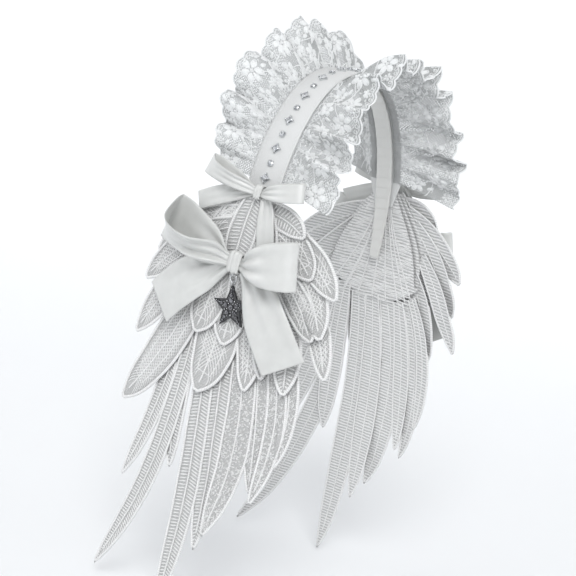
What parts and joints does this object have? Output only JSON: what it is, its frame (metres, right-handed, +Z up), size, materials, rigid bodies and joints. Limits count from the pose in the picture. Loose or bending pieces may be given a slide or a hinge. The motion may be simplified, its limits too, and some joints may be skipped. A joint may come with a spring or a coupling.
{
  "type": "lace bow headband",
  "caption": "Gathered lace headband with a ribbon of claw-set stones and, at each end, satin bows, an embroidered lace wing and a star drop.",
  "frame": {"origin": "the point of the hoop's inner face that rests on the top of the wearer's head", "axes": "+Z up, the wearer faces -Y, +X is the wearer's left"},
  "size_m": [0.2144, 0.1517, 0.3788],
  "materials": {
    "hoop_covering": "plain white satin wrapped round the hoop",
    "centre_ribbon": "white, finely stitched",
    "lace": "white net with corded flowers and a scalloped edge",
    "embroidered_lace": "matt white embroidery with raised cords",
    "satin_ribbon": "white satin, soft sheen",
    "set_stone": "clear cut stone in a polished silver claw setting",
    "star": "gloss black, set with small clear stones",
    "ring_metal": "polished silver"
  },
  "bodies": {
    "root": {"hoop": "hoop_covering", "centre_ribbon": "centre_ribbon", "ruffle_front": "lace", "ruffle_back": "lace", "stone_01_square": "set_stone", "stone_02_round": "set_stone", "stone_03_square": "set_stone", "stone_04_round": "set_stone", "stone_05_square": "set_stone", "stone_06_round": "set_stone", "stone_07_square": "set_stone", "stone_08_round": "set_stone", "stone_09_square": "set_stone", "stone_10_round": "set_stone", "stone_11_square": "set_stone", "stone_12_round": "set_stone", "stone_13_square": "set_stone", "stone_14_round": "set_stone", "stone_15_square": "set_stone", "stone_16_round": "set_stone", "stone_17_square": "set_stone", "stone_18_round": "set_stone", "stone_19_square": "set_stone", "stone_20_round": "set_stone", "stone_21_square": "set_stone", "stone_22_round": "set_stone", "stone_23_square": "set_stone", "wing_primaries_right": "embroidered_lace", "wing_primaries_left": "embroidered_lace", "wing_long_coverts_right": "embroidered_lace", "wing_long_coverts_left": "embroidered_lace", "wing_short_coverts_right": "embroidered_lace", "wing_short_coverts_left": "embroidered_lace", "wing_shoulder_right": "embroidered_lace", "wing_shoulder_left": "embroidered_lace", "small_bow_loops_right": "satin_ribbon", "small_bow_loops_left": "satin_ribbon", "small_bow_tails_right": "satin_ribbon", "small_bow_tails_left": "satin_ribbon", "small_bow_knot_right": "satin_ribbon", "small_bow_knot_left": "satin_ribbon", "large_bow_loops_right": "satin_ribbon", "large_bow_loops_left": "satin_ribbon", "large_bow_tails_right": "satin_ribbon", "large_bow_tails_left": "satin_ribbon", "large_bow_knot_right": "satin_ribbon", "large_bow_knot_left": "satin_ribbon", "star_right": "star", "star_left": "star", "star_ring_right": "ring_metal", "star_ring_left": "ring_metal"}
  },
  "joints": []
}
